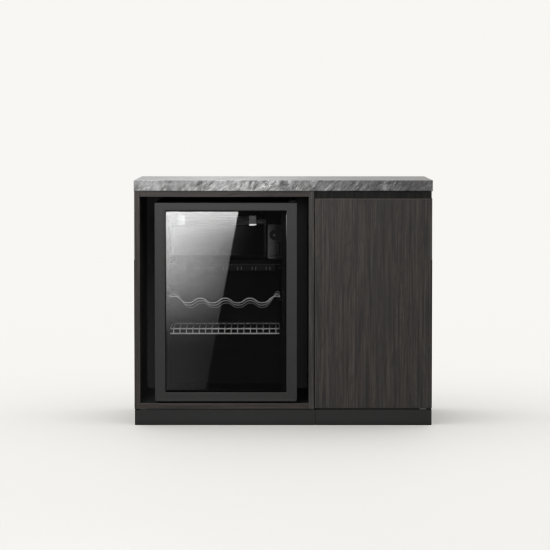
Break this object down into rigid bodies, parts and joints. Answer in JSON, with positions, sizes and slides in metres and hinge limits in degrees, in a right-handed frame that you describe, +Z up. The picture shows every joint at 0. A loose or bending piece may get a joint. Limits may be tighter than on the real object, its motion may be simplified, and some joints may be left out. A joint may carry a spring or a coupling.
{
  "type": "minibar fridge cabinet",
  "caption": "Hotel minibar unit: glass-door fridge with icebox, wire rack and shelf in an open bay, beside a handleless cupboard, under a stone top.",
  "frame": {"origin": "middle of the footprint, on the floor", "axes": "+X to the right of someone facing the unit, +Y to the back, +Z up"},
  "size_m": [0.98, 0.5, 0.806],
  "materials": {
    "stone": "honed grey marble, arrised edges",
    "bay_board": "black laminate inside, dark veneer on the front edges and outside",
    "back_board": "black hardboard",
    "cupboard_board": "dark oak veneer, matt",
    "door_veneer": "dark oak veneer, upright grain, matt",
    "plinth": "dark laminate",
    "zinc_steel": "zinc plated",
    "pivot_steel": "black",
    "bumper": "soft black",
    "catch": "brown case",
    "strike": "nickel plated",
    "fridge_sheet": "satin black powder coat",
    "back_sheet": "galvanised, grey",
    "liner": "formed dark grey sheet",
    "foam": "rigid insulating foam",
    "foot": "black",
    "door_metal": "satin dark grey",
    "outer_glass": "tinted, polished",
    "inner_glass": "clear, polished",
    "spacer": "black edge seal",
    "door_back": "black, fine grain",
    "gasket": "soft black magnetic seal",
    "evaporator": "bare roll-bonded sheet",
    "icebox_trim": "grey",
    "clear_flap": "clear moulded plastic",
    "white_trim": "white",
    "tray": "smoke grey, slightly clear",
    "knob": "black",
    "rack_wire": "plated wire",
    "pot": "black enamel",
    "relay": "black",
    "condenser": "black enamel",
    "copper": "copper"
  },
  "bodies": {
    "cabinet": {"bay_back_panel": "back_board", "bay_bottom_panel": "bay_board", "bay_left_side": "bay_board", "bay_plinth_front": "plinth", "bay_right_side": "bay_board", "bay_top_panel": "bay_board", "catch_magnet": "catch", "compressor": "pot", "compressor_mounts": "foot", "compressor_tray": "zinc_steel", "condensate_pan": "relay", "condenser_coil": "condenser", "condenser_standoffs": "condenser", "cord_gland": "relay", "cupboard_back_panel": "back_board", "cupboard_bottom_panel": "cupboard_board", "cupboard_left_side": "cupboard_board", "cupboard_pivot_hinges": "pivot_steel", "cupboard_plinth_front": "plinth", "cupboard_right_side": "cupboard_board", "cupboard_shelf": "cupboard_board", "cupboard_top_panel": "cupboard_board", "door_bumpers": "bumper", "filter_drier": "copper", "finger_channel": "cupboard_board", "fridge_back_plate": "back_sheet", "fridge_base_plate": "fridge_sheet", "fridge_feet": "foot", "fridge_foam": "foam", "fridge_hinge_brackets": "fridge_sheet", "fridge_inner_liner": "liner", "fridge_outer_shell": "fridge_sheet", "hinge_cover": "door_back", "hinge_screws": "zinc_steel", "icebox_clips": "white_trim", "icebox_evaporator": "evaporator", "icebox_front_frame": "icebox_trim", "lamp_lens": "white_trim", "module_bolts": "zinc_steel", "plinth_back_board": "plinth", "plinth_cross_boards": "plinth", "refrigerant_pipes": "copper", "shelf_pins": "zinc_steel", "start_relay_cover": "relay", "stone_top": "stone", "thermostat_housing": "liner"},
    "cupboard_door": {"cupboard_door": "door_veneer", "catch_strike": "strike"},
    "fridge_door": {"door_frame": "door_metal", "door_outer_glass": "outer_glass", "glass_spacer": "spacer", "door_inner_glass": "inner_glass", "door_inner_frame": "door_back", "door_gasket": "gasket"},
    "icebox_flap": {"icebox_flap": "clear_flap"},
    "drip_tray": {"drip_tray": "tray"},
    "wave_rack": {"wave_rack": "rack_wire"},
    "wire_shelf": {"wire_shelf": "rack_wire"},
    "thermostat_knob": {"thermostat_knob": "knob"}
  },
  "joints": [
    {"name": "fridge_door_hinge", "type": "hinge", "parent": "cabinet", "child": "fridge_door", "pos_m": [0.033, -0.2265, 0.4045], "axis": [0, 0, 1], "range_deg": [0, 105]},
    {"name": "cupboard_door_hinge", "type": "hinge", "parent": "cabinet", "child": "cupboard_door", "pos_m": [0.482, -0.237, 0.401], "axis": [0, 0, 1], "range_deg": [0, 100]},
    {"name": "icebox_flap_hinge", "type": "hinge", "parent": "cabinet", "child": "icebox_flap", "pos_m": [-0.2185, -0.09668, 0.65], "axis": [-1, 0, 0], "range_deg": [0, 90]},
    {"name": "drip_tray_slide", "type": "slide", "parent": "cabinet", "child": "drip_tray", "axis": [0, -1, 0], "range_m": [0, 0.095]},
    {"name": "wave_rack_slide", "type": "slide", "parent": "cabinet", "child": "wave_rack", "axis": [0, -1, 0], "range_m": [0, 0.045]},
    {"name": "wire_shelf_slide", "type": "slide", "parent": "cabinet", "child": "wire_shelf", "axis": [0, -1, 0], "range_m": [0, 0.03]},
    {"name": "thermostat_turn", "type": "hinge", "parent": "cabinet", "child": "thermostat_knob", "pos_m": [-0.03, -0.112, 0.62], "axis": [0, 1, 0], "range_deg": [0, 270]}
  ]
}
